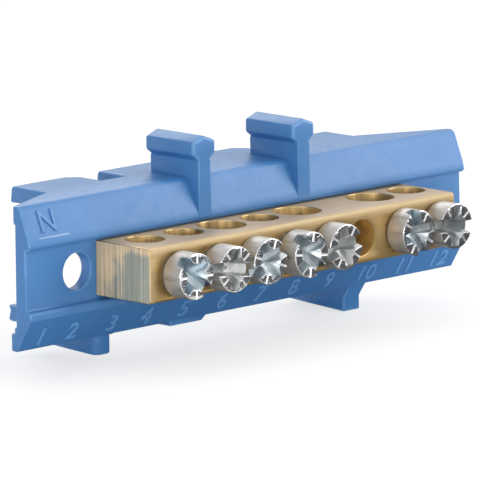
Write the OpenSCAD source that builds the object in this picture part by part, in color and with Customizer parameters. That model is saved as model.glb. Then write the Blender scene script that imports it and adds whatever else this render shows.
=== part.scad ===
// Neutral terminal block: a brass bar with clamp screws, pressed on a moulded carrier that snaps on a rail.
// X runs along the bar, the screws face -Y and the wires go in from +Z.
// The origin lies between the two fixing holes, on the rear face of the carrier's wall.

/* [Terminal bar] */
// Distance between neighbouring terminals
pitch = 6.5; // [6:0.1:8]
// Bar left of the first terminal
bar_end_left = 4.55; // [3.5:0.05:6]
// Bar right of the last terminal
bar_end_right = 2.95; // [2.8:0.05:6]
// Bar from its rear face to the screw side
bar_depth = 9.35; // [9:0.05:11]
// Bar from bottom to top
bar_height = 6.75; // [6.4:0.05:7.4]
// Bar centre to the right of the carrier's centre
bar_shift = 0.3; // [0:0.1:0.6]
// Wire holes for smaller conductors
small_wire_d = 4.8; // [4.2:0.1:5.2]
// Wire holes for larger conductors
large_wire_d = 6.05; // [5.4:0.05:6.1]
// Wire hole axis in front of the bar's rear face
wire_axis = 3.85; // [3.7:0.05:4.2]
// Plain hole that the carrier's peg holds
peg_bore_d = 4.5; // [4.2:0.1:5]
// Peg hole to the left of its place in the row
peg_bore_shift = 0.7; // [0:0.1:0.9]

/* [Clamp screws] */
// Screw axes below the bar's mid-height
screw_drop = 0.15; // [0:0.05:0.3]
// Head diameter
head_d = 5.7; // [5.5:0.1:6.1]
// Head height
head_h = 2.9; // [2.6:0.1:3.4]
// Bevel round the head's front rim
head_bevel = 0.15; // [0.1:0.05:0.3]
// Thread diameter
shank_d = 5; // [4.4:0.1:5.2]
// Length under the head
shank_len = 7; // [6.6:0.1:7.4]
// Bevel at the screw's tip
tip_bevel = 0.6; // [0.3:0.1:0.9]
// Clearance round the thread in its hole, on the radius
thread_gap = 0.05; // [0.03:0.01:0.09]
// Width of the driving slot and of the cross
slot_w = 1.3; // [1:0.1:1.5]
// Depth of the driving slot
slot_depth = 1.9; // [1.5:0.1:2.2]
// Depth of the cross
cross_depth = 1.5; // [1:0.1:1.8]
// Width of the round hollow where slot and cross meet
hollow_d = 3; // [2.4:0.1:3.4]
// Depth of that hollow
hollow_depth = 2.2; // [1.8:0.1:2.4]

/* [Carrier wall] */
// Thickness of the wall behind the bar
wall_t = 1.8; // [1.5:0.1:2.5]
// Room above the bar, under the lip
lip_gap = 0.2; // [0.1:0.05:0.5]
// Room under the bar, above the ledge
ledge_gap = 0.5; // [0.1:0.05:0.8]
// Lip in front of the wall
lip_reach = 0.8; // [0.5:0.05:0.8]
// Height of the lip's nose
lip_height = 0.95; // [0.7:0.05:1.6]
// Ledge in front of the wall
ledge_reach = 0.85; // [0.8:0.05:1]
// Height of the ledge's nose
ledge_height = 1.05; // [0.7:0.05:1.6]
// Height of the marking bevel above the lip
upper_bevel_h = 4.3; // [3.5:0.05:5]
// Thickness of the wall at its top edge, ahead of the rear face
crest_t = 0.85; // [0.5:0.05:1.2]
// Height of the numbered bevel below the ledge
lower_bevel_h = 3.95; // [3.5:0.05:5]
// Thickness of the wall at its bottom edge, ahead of the rear face
bottom_t = 0.2; // [0.1:0.05:0.6]
// Rounding of the lip and the ledge
nose_r = 0.4; // [0.2:0.05:0.5]
// Rounding along the top edge of the wall
crest_r = 0.9; // [0.3:0.1:1.1]
// Rounding in the corner between the wall and the ledge
inner_r = 0.35; // [0.1:0.05:0.4]
// Upper rear pad behind the wall
upper_pad_t = 0.25; // [0.1:0.05:0.5]
// Height of the upper rear pad
upper_pad_h = 2.3; // [1.8:0.1:3]
// Lower rear pad behind the wall
lower_pad_t = 0.85; // [0.4:0.05:1.2]
// Height of the lower rear pad
lower_pad_h = 2.2; // [1.4:0.1:2.8]
// Fixing holes
fixing_d = 4.5; // [4:0.1:5]
// Wall between a fixing hole and the bar's end
fixing_land = 0.25; // [0.2:0.05:2]
// Carrier beyond the centre of a fixing hole
end_land = 8.55; // [6:0.05:12]

/* [Roof and jaws] */
// Thickness of the roof
roof_t = 2; // [1.4:0.1:2.4]
// Roof behind the wall
roof_depth = 5.4; // [4.5:0.1:7]
// Length over which the roof tapers away at each end
taper_len = 11.8; // [9:0.1:12]
// Tongues and jaws behind the wall
jaw_depth = 10.6; // [9:0.1:11]
// Width of the two outer tongues and jaws
jaw_w = 10.2; // [8:0.1:11]
// Distance between the two outer tongues
jaw_spacing = 44.1; // [42:0.1:46]
// Tongues and feet to the left of the carrier's centre
jaw_shift = 1.3; // [0:0.1:2]
// Width of the middle tongue
mid_tongue_w = 24.4; // [22:0.1:27]
// Centre of the middle tongue to the left of the carrier's centre
mid_tongue_shift = 1.8; // [0.8:0.1:2.8]
// Bevelled rear corner of each tongue
tongue_corner = 1.7; // [1:0.1:2.5]
// Rounding along the top of a tongue's rear edge
tongue_r = 0.5; // [0.3:0.1:0.9]
// Thickness of a lower jaw
lower_jaw_t = 2; // [1.6:0.1:2.4]
// Lower jaw above the wall's bottom edge
lower_jaw_lift = 0.95; // [0.6:0.05:1.4]
// Lower jaw behind the tongues
lower_jaw_extra = 0.8; // [0.5:0.1:2]
// Barb along the rear edge of a lower jaw
barb = 0.3; // [0.2:0.05:0.5]

/* [Finger clips] */
// Distance between the two clips
clip_spacing = 17.25; // [15:0.05:20]
// Clips to the right of the carrier's centre
clip_shift = 0.2; // [0:0.05:0.6]
// Thickness of a clip's stem
clip_stem_t = 2.1; // [1.6:0.1:2.4]
// Height of the stem above the roof
clip_stem_h = 2.2; // [1.8:0.05:4]
// Width of a clip's head
clip_head_w = 3.8; // [3:0.1:4.5]
// Height over which the stem widens into the head
clip_flare_h = 0.65; // [0.5:0.05:1.2]
// Height of the head's straight sides
clip_side_h = 1.6; // [0.8:0.1:2]
// Height of the head's ridge above its sides
clip_ridge_h = 0.7; // [0.4:0.05:1]
// Clip behind the wall
clip_depth = 5.85; // [4.5:0.05:6.5]
// Rounding along a clip's head
clip_r = 0.4; // [0.1:0.05:0.45]

/* [Feet] */
// Width of a foot
foot_w = 2.9; // [2:0.1:4]
// Left foot below the wall's bottom edge
left_foot_h = 2.45; // [1.5:0.05:3]
// Right foot below the wall's bottom edge
right_foot_h = 3.45; // [2.5:0.05:4]
// Rise of a foot's underside from front to rear
foot_rise = 0.5; // [0:0.1:1]
// Front of the left foot behind the wall's bottom edge
left_foot_setback = 0.1; // [0.1:0.05:0.5]
// Front of the right foot behind the wall's bottom edge
right_foot_setback = 1.1; // [0.6:0.05:1.3]
// Sloped front of a foot behind the numbered bevel
foot_inset = 0.06; // [0.04:0.01:0.09]
// Rounding of the left foot's front corners
foot_r = 1; // [0.3:0.1:1.2]
// Width of the stop under the bottom edge
stop_w = 6.1; // [4:0.1:8]
// Centre of the stop to the left of the carrier's centre
stop_shift = 9.2; // [7:0.1:12]
// Stop below the bottom edge
stop_h = 0.6; // [0.3:0.05:1]
// Stop from front to back
stop_depth = 2.6; // [1.5:0.1:3.5]

/* [Hidden] */
$fn = 64;
arc_steps = 5;
overlap = 0.2;

// Places in the row, counted from the left: the peg hole takes one that has no wire hole
places = 8;
peg_place = 5;
screw_places = [0, 1, 2, 3, 4, 6, 7];
large_places = [2, 4, 6];

// How far each screw stands out from its seat, and how far it is turned
screw_lift = [0.45, 0.6, 0.05, 0.6, 0.15, 0.1, 0.3];
screw_turn = [43, -8, 26, 38, 12, 14, -8];

// Bar
bar_len = bar_end_left + (places - 1) * pitch + bar_end_right;
bar_left = bar_shift - bar_len / 2;
bar_rear = -wall_t;
bar_front = bar_rear - bar_depth;
wire_y = bar_rear - wire_axis;
tap_depth = shank_len + thread_gap * 4;
peg_x = place_x(peg_place) - peg_bore_shift;
peg_len = 4;
peg_squeeze = 0.05;

// Carrier ends and heights
fixing_x = bar_shift + bar_len / 2 + fixing_land + fixing_d / 2;
carrier_len = 2 * (fixing_x + end_land);
lip_z = bar_height / 2 + lip_gap;
ledge_z = -bar_height / 2 - ledge_gap;
nose_y = -wall_t - lip_reach;
ledge_y = -wall_t - ledge_reach;
roof_z = lip_z + lip_height + upper_bevel_h;
bottom_z = ledge_z - ledge_height - lower_bevel_h;

// Jaws
left_jaw_x = -jaw_shift - jaw_spacing / 2;
right_jaw_x = -jaw_shift + jaw_spacing / 2;
lower_jaw_bottom = bottom_z + lower_jaw_lift;
lower_jaw_top = lower_jaw_bottom + lower_jaw_t;
lower_jaw_depth = jaw_depth + lower_jaw_extra;

function place_x(place) = bar_left + bar_end_left + place * pitch;
function contains(list, value) = len(search(value, list)) > 0;
function wire_d(place) = contains(large_places, place) ? large_wire_d : small_wire_d;

// Y of the numbered bevel, carried on downwards, at a height z
function lower_bevel_y(z) = -bottom_t + (bottom_z - z) * (ledge_reach + wall_t - bottom_t) / lower_bevel_h;
function lower_bevel_z(y) = bottom_z - (y + bottom_t) * lower_bevel_h / (ledge_reach + wall_t - bottom_t);

// Points that round the corner b, between its neighbours a and c, with radius r
function round_corner(a, b, c, r) =
    let (u = (a - b) / norm(a - b), v = (c - b) / norm(c - b))
    let (half = acos(u * v) / 2, m = (u + v) / norm(u + v))
    let (centre = b + m * r / sin(half))
    let (start = b + u * r / tan(half) - centre, turn = 180 - 2 * half)
    let (way = u[0] * v[1] - u[1] * v[0] > 0 ? -1 : 1)
    [for (i = [0:arc_steps])
        let (t = way * turn * i / arc_steps)
        centre + [start[0] * cos(t) - start[1] * sin(t), start[0] * sin(t) + start[1] * cos(t)]];

// Outline through points, each [x, y, radius]; a radius of 0 leaves the corner sharp
function rounded(points) =
    let (n = len(points))
    [for (i = [0:n - 1])
        let (a = points[(i + n - 1) % n], b = points[i], c = points[(i + 1) % n])
        each b[2] > 0
            ? round_corner([a[0], a[1]], [b[0], b[1]], [c[0], c[1]], b[2])
            : [[b[0], b[1]]]];

// Stands a Y-Z outline up and runs it along X, from x to x + length
module along_x(x, length) {
    translate([x, 0, 0]) rotate([90, 0, 90]) linear_extrude(length) children();
}

// Stands an X-Z outline up and runs it back along Y, from y to y + length
module along_y(y, length) {
    translate([0, y + length, 0]) rotate([90, 0, 0]) linear_extrude(length) children();
}

// Front wall with its two wedges and rear pads
module wall() {
    along_x(-carrier_len / 2, carrier_len)
        polygon(rounded([
            [upper_pad_t, roof_z, 0],
            [-crest_t, roof_z, crest_r],
            [nose_y, lip_z + lip_height, nose_r],
            [nose_y, lip_z, nose_r],
            [-wall_t, lip_z, 0],
            [-wall_t, ledge_z, inner_r],
            [ledge_y, ledge_z, nose_r],
            [ledge_y, ledge_z - ledge_height, nose_r],
            [-bottom_t, bottom_z, nose_r / 2],
            [lower_pad_t, bottom_z, 0],
            [lower_pad_t, bottom_z + lower_pad_h, 0],
            [0, bottom_z + lower_pad_h, 0],
            [0, roof_z - upper_pad_h, 0],
            [upper_pad_t, roof_z - upper_pad_h, 0]]));
}

// Plan of a slab that tapers away to the wall at both ends
module tapered_plan() {
    end = carrier_len / 2;
    polygon([[-end, -overlap], [-end, upper_pad_t], [taper_len - end, roof_depth],
             [end - taper_len, roof_depth], [end, upper_pad_t], [end, -overlap]]);
}

// Tongue with a rounded rear edge and one bevelled rear corner, on its right (side 1) or left (side -1)
module tongue(centre, width, side) {
    low = roof_z - roof_t;
    intersection() {
        along_x(centre - width / 2, width)
            polygon(rounded([[0, low, 0], [jaw_depth, low, tongue_r / 2],
                             [jaw_depth, roof_z, tongue_r], [0, roof_z, 0]]));
        translate([centre, 0, low]) linear_extrude(roof_t)
            polygon([[-side * width / 2, 0], [-side * width / 2, jaw_depth],
                     [side * (width / 2 - tongue_corner), jaw_depth],
                     [side * width / 2, jaw_depth - tongue_corner], [side * width / 2, 0]]);
    }
}

module roof() {
    translate([0, 0, roof_z - roof_t]) linear_extrude(roof_t) tapered_plan();
    tongue(left_jaw_x, jaw_w, 1);
    tongue(-mid_tongue_shift, mid_tongue_w, 1);
    tongue(right_jaw_x, jaw_w, -1);
}

// Lower jaw: an arm under a tongue, with a barb along its rear edge
module lower_jaw(centre) {
    along_x(centre - jaw_w / 2, jaw_w)
        polygon([[-overlap, lower_jaw_bottom], [lower_jaw_depth - 2 * barb, lower_jaw_bottom],
                 [lower_jaw_depth, lower_jaw_bottom + barb / 2],
                 [lower_jaw_depth - barb, lower_jaw_top - 2 * barb],
                 [lower_jaw_depth, lower_jaw_top], [-overlap, lower_jaw_top]]);
}

// Finger clip: a stem that widens into a ridged head, from the lip's front back over the roof
module finger_clip(centre) {
    stem = clip_stem_t / 2;
    head = clip_head_w / 2;
    flare_z = roof_z + clip_stem_h;
    side_z = flare_z + clip_flare_h;
    top_z = side_z + clip_side_h;
    foot_z = lip_z + nose_r;
    outline = rounded([
        [-stem, roof_z - roof_t, 0], [-stem, flare_z, clip_r], [-head, side_z, clip_r],
        [-head, top_z, clip_r], [0, top_z + clip_ridge_h, clip_r], [head, top_z, clip_r],
        [head, side_z, clip_r], [stem, flare_z, clip_r], [stem, roof_z - roof_t, 0]]);
    translate([centre, 0, 0]) {
        along_y(nose_y, clip_depth - nose_y) polygon(outline);
        translate([-stem, nose_y, foot_z])
            cube([clip_stem_t, wall_t + lip_reach, roof_z - foot_z]);
    }
}

// Foot: a fin under a lower jaw; its front carries the numbered bevel on, a hair behind it, then drops
// straight, and its underside rises a little to the rear
module foot(centre, height, setback, radius) {
    front = setback - bottom_t;
    rear = lower_jaw_depth - 2 * barb;
    knee = lower_bevel_z(front - foot_inset);
    low = bottom_z - height;
    along_x(centre - foot_w / 2, foot_w)
        polygon([[lower_bevel_y(lower_jaw_bottom) + foot_inset, lower_jaw_bottom], [front, knee],
                 [rear, knee], [rear, lower_jaw_bottom]]);
    slope = foot_rise / (rear - front);
    intersection() {
        translate([0, 0, low - overlap]) linear_extrude(knee - low + 2 * overlap)
            foot_plan(centre, front, rear, radius);
        along_x(centre - foot_w, 2 * foot_w)
            polygon([[front - overlap, low - overlap * slope], [front - overlap, knee + overlap],
                     [rear + overlap, knee + overlap], [rear + overlap, low + foot_rise + overlap * slope]]);
    }
}

// Plan of a foot with round front corners
module foot_plan(centre, front, rear, radius) {
    polygon(rounded([[centre - foot_w / 2, rear, 0], [centre - foot_w / 2, front, radius],
                     [centre + foot_w / 2, front, radius], [centre + foot_w / 2, rear, 0]]));
}

// Stop under the bottom edge, bevelled at its right end
module stop() {
    left = -stop_shift - stop_w / 2;
    right = left + stop_w;
    low = bottom_z - stop_h;
    along_y(-bottom_t, stop_depth)
        polygon([[left, lower_jaw_bottom], [left, low], [right - stop_h, low],
                 [right, bottom_z], [right, lower_jaw_bottom]]);
}

// Floor between the lower jaws, with the roof's own taper
module floor_slab() {
    translate([0, 0, lower_jaw_bottom]) linear_extrude(lower_jaw_t) tapered_plan();
}

module fixing_hole(x) {
    translate([x, overlap, 0]) rotate([90, 0, 0]) cylinder(h = wall_t + 2 * overlap, d = fixing_d);
}

module peg() {
    translate([peg_x, bar_rear, -screw_drop]) rotate([90, 0, 0])
        translate([0, 0, -overlap]) cylinder(h = peg_len + overlap, d = peg_bore_d + 2 * peg_squeeze);
}

module carrier() {
    color("steelblue") difference() {
        union() {
            wall();
            roof();
            floor_slab();
            for (x = [left_jaw_x, right_jaw_x]) lower_jaw(x);
            for (side = [-1, 1]) finger_clip(clip_shift + side * clip_spacing / 2);
            foot(left_jaw_x, left_foot_h, left_foot_setback, foot_r);
            foot(right_jaw_x, right_foot_h, right_foot_setback, 0);
            stop();
            peg();
        }
        for (side = [-1, 1]) fixing_hole(side * fixing_x);
    }
}

module terminal_bar() {
    color("goldenrod") difference() {
        translate([bar_left, bar_front, -bar_height / 2]) cube([bar_len, bar_depth, bar_height]);
        for (place = screw_places) {
            translate([place_x(place), wire_y, -bar_height / 2 - overlap])
                cylinder(h = bar_height + 2 * overlap, d = wire_d(place));
            translate([place_x(place), bar_front + tap_depth, -screw_drop]) rotate([90, 0, 0])
                cylinder(h = tap_depth + overlap, d = shank_d + 2 * thread_gap);
        }
        translate([peg_x, bar_rear + overlap, -screw_drop]) rotate([90, 0, 0])
            cylinder(h = bar_depth + 2 * overlap, d = peg_bore_d);
    }
}

// Screw that stands on its tip at the origin, head up, with its slot along X
module screw_form() {
    shank = shank_d / 2;
    head = head_d / 2;
    top = shank_len + head_h;
    difference() {
        rotate_extrude()
            polygon([[0, 0], [shank - tip_bevel, 0], [shank, tip_bevel], [shank, shank_len],
                     [head, shank_len], [head, top - head_bevel], [head - head_bevel, top], [0, top]]);
        translate([-head_d / 2 - overlap, -slot_w / 2, top - slot_depth])
            cube([head_d + 2 * overlap, slot_w, slot_depth + overlap]);
        translate([-slot_w / 2, -head_d / 2 - overlap, top - cross_depth])
            cube([slot_w, head_d + 2 * overlap, cross_depth + overlap]);
        translate([0, 0, top - hollow_depth]) cylinder(h = hollow_depth + overlap, d1 = 0.3, d2 = hollow_d);
    }
}

module clamp_screw(index) {
    seat = bar_front + shank_len;
    color("silver") translate([place_x(screw_places[index]), seat - screw_lift[index], -screw_drop])
        rotate([90, 0, 0]) rotate([0, 0, screw_turn[index]]) screw_form();
}

carrier();
terminal_bar();
clamp_screw(0);  // clamp_screw_1
clamp_screw(1);  // clamp_screw_2
clamp_screw(2);  // clamp_screw_3
clamp_screw(3);  // clamp_screw_4
clamp_screw(4);  // clamp_screw_5
clamp_screw(5);  // clamp_screw_6
clamp_screw(6);  // clamp_screw_7
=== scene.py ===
"""Neutral terminal block: moulded carrier, raised marks, brass bar, clamp screws and a studio stage."""
import math

import bmesh
import bpy
from mathutils import Matrix, Vector


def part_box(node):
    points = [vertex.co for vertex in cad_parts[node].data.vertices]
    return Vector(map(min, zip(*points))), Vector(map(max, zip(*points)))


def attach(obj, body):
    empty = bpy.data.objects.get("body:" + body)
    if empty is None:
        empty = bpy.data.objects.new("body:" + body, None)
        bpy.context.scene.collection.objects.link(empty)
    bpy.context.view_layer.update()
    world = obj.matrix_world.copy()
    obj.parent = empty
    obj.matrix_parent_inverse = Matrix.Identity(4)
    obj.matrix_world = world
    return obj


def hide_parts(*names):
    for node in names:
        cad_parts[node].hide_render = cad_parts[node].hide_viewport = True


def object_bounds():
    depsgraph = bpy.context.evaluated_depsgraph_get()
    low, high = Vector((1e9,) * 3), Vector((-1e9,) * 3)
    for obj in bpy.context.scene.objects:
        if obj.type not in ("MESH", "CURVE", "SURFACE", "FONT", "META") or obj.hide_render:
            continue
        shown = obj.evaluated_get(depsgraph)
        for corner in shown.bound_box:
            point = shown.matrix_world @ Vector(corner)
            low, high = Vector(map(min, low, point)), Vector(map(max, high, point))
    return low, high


bl_info = {
    "name": "Neutral terminal block",
    "version": (1, 0, 0),
    "blender": (4, 5, 0),
    "location": "View3D > Sidebar > Terminal block",
    "description": "Dresses a neutral terminal block: moulding, raised marks, brass bar and clamp screws",
    "category": "Object",
}

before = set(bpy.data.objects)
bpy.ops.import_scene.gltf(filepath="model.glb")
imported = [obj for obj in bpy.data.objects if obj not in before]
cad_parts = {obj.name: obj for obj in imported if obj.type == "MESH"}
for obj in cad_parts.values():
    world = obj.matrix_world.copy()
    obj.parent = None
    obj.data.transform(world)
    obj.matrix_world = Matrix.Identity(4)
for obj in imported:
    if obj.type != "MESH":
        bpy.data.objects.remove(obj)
CAD_LOW, CAD_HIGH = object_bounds()

MM = 0.001
# Points nearer than this are one point, in a new mesh and in a CAD node's loose triangles
WELD = 1e-6
CAD_WELD = 2e-6
# Faces that meet at less than this lie in one plane
FLAT_ANGLE = math.radians(0.6)
# A point nearer to a plane than this lies on it
ON_PLANE = 0.01 * MM


# Sizes and colours that a user would change

def length(name, note, millimetres):
    """A length property whose default is given in millimetres."""
    return bpy.props.FloatProperty(
        name=name, description=note, default=millimetres * MM, unit="LENGTH", precision=5)


def colour(name, note, value):
    """A linear colour property."""
    return bpy.props.FloatVectorProperty(
        name=name, description=note, default=value, size=3, min=0.0, max=1.0, subtype="COLOR")


def share(name, note, value):
    """A plain number between nothing and one."""
    return bpy.props.FloatProperty(
        name=name, description=note, default=value, min=0.0, max=1.0, subtype="FACTOR")


def angle(name, note, degrees):
    """An angle property whose default is given in degrees."""
    return bpy.props.FloatProperty(
        name=name, description=note, default=math.radians(degrees), subtype="ANGLE", unit="ROTATION")


def power(name, note, watts):
    """A lamp's power."""
    return bpy.props.FloatProperty(name=name, description=note, default=watts, min=0.0, unit="POWER")


class CarrierLook(bpy.types.PropertyGroup):
    """The blue moulding."""
    edge_round: length("Edge rounding", "Radius that the mould leaves on outer edges", 0.22)
    nose_round: length("Nose rounding", "Softness where the upper bevel turns down", 0.53)
    clip_round: length("Clip rounding", "Radius of the finger clips' outer edges", 0.36)
    blue: colour("Blue", "Main colour of the plastic", (0.044, 0.178, 0.430))
    pale_blue: colour("Pale blue", "Lighter clouds in the plastic", (0.052, 0.194, 0.458))
    # Paler blue on the rounded edges: partly real wear, partly a painted highlight along the edges.
    edge_wear_and_highlight_blue: colour("Edge wear and highlight blue", "Paler edges, partly wear and partly a painted highlight", (0.12, 0.30, 0.58))
    roughness: share("Roughness", "Satin finish of the mould", 0.4)


class MarkLook(bpy.types.PropertyGroup):
    """Raised numerals on the lower bevel, and the letter and its bead on the upper one."""
    digit_height: length("Digit height", "Height of a numeral along the bevel", 2.5)
    letter_height: length("Letter height", "Height of the letter along the bevel", 2.75)
    relief: length("Relief", "How far the numerals stand out", 0.1)
    letter_relief: length("Letter relief", "How far the letter stands out", 0.2)
    stroke_gain: length("Stroke gain", "How much each side of a stroke is thickened", 0.045)
    # The raised strokes are painted paler as a highlight where they catch the light.
    wear_and_highlight: colour("Mark highlight", "Paler blue painted on the raised strokes as their highlight", (0.10, 0.29, 0.60))
    # The bead is painted whitish as the highlight of an edge that catches the light.
    painted_highlight: colour("Bead highlight", "Whitish blue painted on the bead under the letter as its highlight", (0.36, 0.50, 0.70))
    bead: length("Bead", "Width of the fine bead under the letter", 0.16)


class BarLook(bpy.types.PropertyGroup):
    """The brass bar."""
    edge_break: length("Edge break", "Width of the broken edges", 0.09)
    long_round: length("Long edge rounding", "Radius of the drawn edges along the bar", 0.45)
    gold: colour("Gold", "Drawn brass on the front", (0.62, 0.42, 0.168))
    # Paler colour painted along the top and left end of the front as a highlight.
    highlight_cream: colour("Highlight cream", "Painted highlight along the top and left of the front", (0.41, 0.305, 0.172))
    rim_width: length("Rim width", "Width of the painted highlight along the front's top and left", 1.1)
    pale_gold: colour("Pale gold", "Lighter streaks in the brass", (0.60, 0.455, 0.25))
    tarnish: colour("Tarnish", "Dull patches on the drawn faces", (0.47, 0.32, 0.13))
    matt_top: colour("Matt top", "Pinkish tan of the matt top", (0.435, 0.325, 0.205))
    pale_top: colour("Pale top", "Lighter patches on the top", (0.49, 0.38, 0.255))
    sawn_tan: colour("Sawn tan", "Warm tan on the sawn ends", (0.655, 0.50, 0.31))
    sawn_grey: colour("Sawn grey", "Greenish grey on the sawn ends", (0.315, 0.325, 0.275))
    # The bored walls are painted darker than the drawn faces as shade inside the holes.
    shaded_bore_gold: colour("Bore shade gold", "Gold of the bored walls, darkened as painted shade", (0.38, 0.26, 0.11))
    shaded_bore_brown: colour("Bore shade brown", "Darker stretches in the painted shade of the bored walls", (0.22, 0.145, 0.055))
    empty_gold: colour("Empty bore gold", "Gold of the empty bore in the front", (0.70, 0.42, 0.11))
    roughness: share("Roughness", "Finish of the drawn faces", 0.38)


class ScrewLook(bpy.types.PropertyGroup):
    """The zinc-plated clamp screws."""
    head_d: length("Head diameter", "Diameter of the head", 5.7)
    head_h: length("Head height", "Height of the head", 2.9)
    shank_d: length("Thread diameter", "Outside diameter of the thread", 5.0)
    shank_len: length("Thread length", "Length below the head", 7.0)
    pitch: length("Thread pitch", "Distance between threads", 0.8)
    slot_w: length("Slot width", "Width of the slot at the head's face", 1.6)
    slot_floor: length("Slot floor", "Width of the slot at its floor", 1.1)
    slot_depth: length("Slot depth", "Depth of the slot at the rim", 1.0)
    cross_w: length("Cross width", "Width of the cross at the head's face", 1.25)
    cross_floor: length("Cross floor", "Width of the cross at its floor", 0.85)
    cross_depth: length("Cross depth", "Depth of the cross at the ends of its arms", 0.5)
    cross_d: length("Cross diameter", "Across the arms of the cross, which end inside the rim", 4.9)
    hollow_d: length("Hollow diameter", "Mouth of the cone in the middle", 3.3)
    hollow_depth: length("Hollow depth", "Depth of the cone in the middle", 2.2)
    zinc: colour("Zinc", "Main colour of the plating", (0.68, 0.68, 0.69))
    cool_zinc: colour("Cool zinc", "Cooler clouds in the plating", (0.62, 0.645, 0.675))
    side_zinc: colour("Side zinc", "Plain grey of the head's side", (0.445, 0.425, 0.39))
    # Lilac and brownish streaks are painted reflections of the blue moulding and of the brass.
    lilac_reflection_zinc: colour("Lilac reflection zinc", "Lilac streaks painted on the head's side as reflections of the blue moulding", (0.49, 0.475, 0.49))
    brass_reflection_zinc: colour("Brass reflection zinc", "Brownish streaks painted on the head's side as reflections of the brass", (0.235, 0.205, 0.16))
    dull_zinc: colour("Dull zinc", "Plain grey of the stamped recess", (0.365, 0.38, 0.385))
    pale_zinc: colour("Pale zinc", "Paler clouds in the recess", (0.66, 0.66, 0.655))
    teal_zinc: colour("Teal zinc", "Bluish grey of the recess on cooler screws", (0.33, 0.41, 0.45))
    aqua_zinc: colour("Aqua zinc", "Paler clouds in the recess on cooler screws", (0.61, 0.69, 0.73))
    # The ticks are painted bright as a highlight that shows at every turn of the screw.
    tick_highlight_zinc: colour("Tick highlight zinc", "Bright zinc painted in the small ticks as their highlight", (0.86, 0.86, 0.85))
    roughness: share("Roughness", "Finish of the head's face", 0.17)
    side_roughness: share("Side roughness", "Finish of the head's side", 0.42)
    recess_roughness: share("Recess roughness", "Finish of the stamped recess", 0.34)


class StageLook(bpy.types.PropertyGroup):
    """Floor, lamps and camera."""
    floor_drop: length("Floor gap", "Gap between the lowest foot and the floor", 0.02)
    floor: colour("Floor", "Colour of the floor", (0.9, 0.9, 0.9))
    floor_white: share("Floor white", "Share of plain white in the floor as it is seen", 0.6)
    key: power("Key lamp", "Large soft lamp in front on the right", 6.0)
    fill: power("Fill lamp", "Wide low lamp in front on the left", 5.0)
    back: power("Back lamp", "Soft lamp behind on the right", 2.4)
    side: power("Side lamp", "Soft lamp above on the right", 1.8)
    low: power("Low lamp", "Long lamp near the floor on the left", 1.8)
    top: power("Top lamp", "Soft lamp straight above", 1.5)
    ambient: share("Ambient", "Light from the room", 0.62)
    card: colour("Dark card", "Card that darkens the reflections in the screw heads", (0.11, 0.11, 0.11))
    azimuth: angle("Azimuth", "Turn of the camera round the part", -44.927)
    elevation: angle("Elevation", "Height of the camera above the horizon", 10.4147)
    roll: angle("Roll", "Tilt of the camera", -0.5235)
    distance: length("Distance", "From the camera to the point that it looks at", 826.3)
    lens: bpy.props.FloatProperty(
        name="Lens", description="Focal length on a 36 mm sensor", default=502.04, unit="CAMERA")
    aim: bpy.props.FloatVectorProperty(
        name="Aim", description="Point that the camera looks at", size=3, unit="LENGTH",
        default=(1.02838 * MM, 0.91522 * MM, -0.65937 * MM))


# Selecting, shaping and finishing

def close():
    """Leave edit mode."""
    bpy.ops.object.mode_set(mode="OBJECT")


def only(obj, *others):
    """Select these objects alone, the first one active."""
    if bpy.context.object and bpy.context.object.mode != "OBJECT":
        close()
    bpy.ops.object.select_all(action="DESELECT")
    for each in (obj,) + others:
        each.select_set(True)
    bpy.context.view_layer.objects.active = obj


def fresh(add, **sizes):
    """A new object from an add operator, with everything else deselected first."""
    bpy.ops.object.select_all(action="DESELECT")
    add(**sizes)
    return bpy.context.object


def edit(obj, kind="FACE"):
    """Open a mesh for editing with everything selected."""
    only(obj)
    bpy.ops.object.mode_set(mode="EDIT")
    bpy.ops.mesh.select_mode(type=kind)
    bpy.ops.mesh.select_all(action="SELECT")


def start_picking(obj, kind):
    """Open a mesh for editing with nothing selected."""
    edit(obj, kind)
    bpy.ops.mesh.select_all(action="DESELECT")


def pick_faces(obj, test):
    """Open a mesh with only the faces selected whose centre and normal pass a test."""
    start_picking(obj, "FACE")
    close()
    for face in obj.data.polygons:
        face.select = test(face.center, face.normal)
    bpy.ops.object.mode_set(mode="EDIT")


def pick_verts(obj, test):
    """Open a mesh with only the points selected that pass a test."""
    start_picking(obj, "VERT")
    close()
    for point in obj.data.vertices:
        point.select = test(point.co)
    bpy.ops.object.mode_set(mode="EDIT")


def pick_edges(obj, degrees, test):
    """Open a mesh with only the outer edges selected that are sharp and pass a test."""
    start_picking(obj, "EDGE")
    mesh = bmesh.from_edit_mesh(obj.data)
    for edge in mesh.edges:
        outer = len(edge.link_faces) == 2 and edge.is_convex
        if outer and edge.calc_face_angle() > math.radians(degrees):
            if test(edge.verts[0].co, edge.verts[1].co):
                edge.select_set(True)
    bmesh.update_edit_mesh(obj.data)


def round_picked(radius, segments, slot=-1, miter="SHARP", slide=True):
    """Round the picked edges, give the new faces a material slot and leave edit mode."""
    bpy.ops.mesh.bevel(offset=radius, segments=segments, affect="EDGES", material=slot,
                       clamp_overlap=False, miter_outer=miter, loop_slide=slide)
    close()


def merge_flats(obj):
    """Merge neighbouring faces that lie in one plane."""
    edit(obj)
    bpy.ops.mesh.dissolve_limited(angle_limit=FLAT_ANGLE)
    close()


def weld_outwards(obj):
    """Merge points that coincide and turn all faces outwards."""
    edit(obj)
    bpy.ops.mesh.remove_doubles(threshold=WELD)
    bpy.ops.mesh.normals_make_consistent(inside=False)
    close()


def apply(obj, modifier):
    """Apply one modifier."""
    only(obj)
    bpy.ops.object.modifier_apply(modifier=modifier.name)


def settle(obj):
    """Put an object's place into its mesh."""
    only(obj)
    bpy.ops.object.transform_apply(location=True, rotation=True, scale=True)


def join(obj, others):
    """Join other meshes into the first."""
    only(obj, *others)
    bpy.ops.object.join()
    return obj


def rename(obj, name):
    """Name an object and its mesh."""
    obj.name = name
    obj.data.name = name


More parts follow.
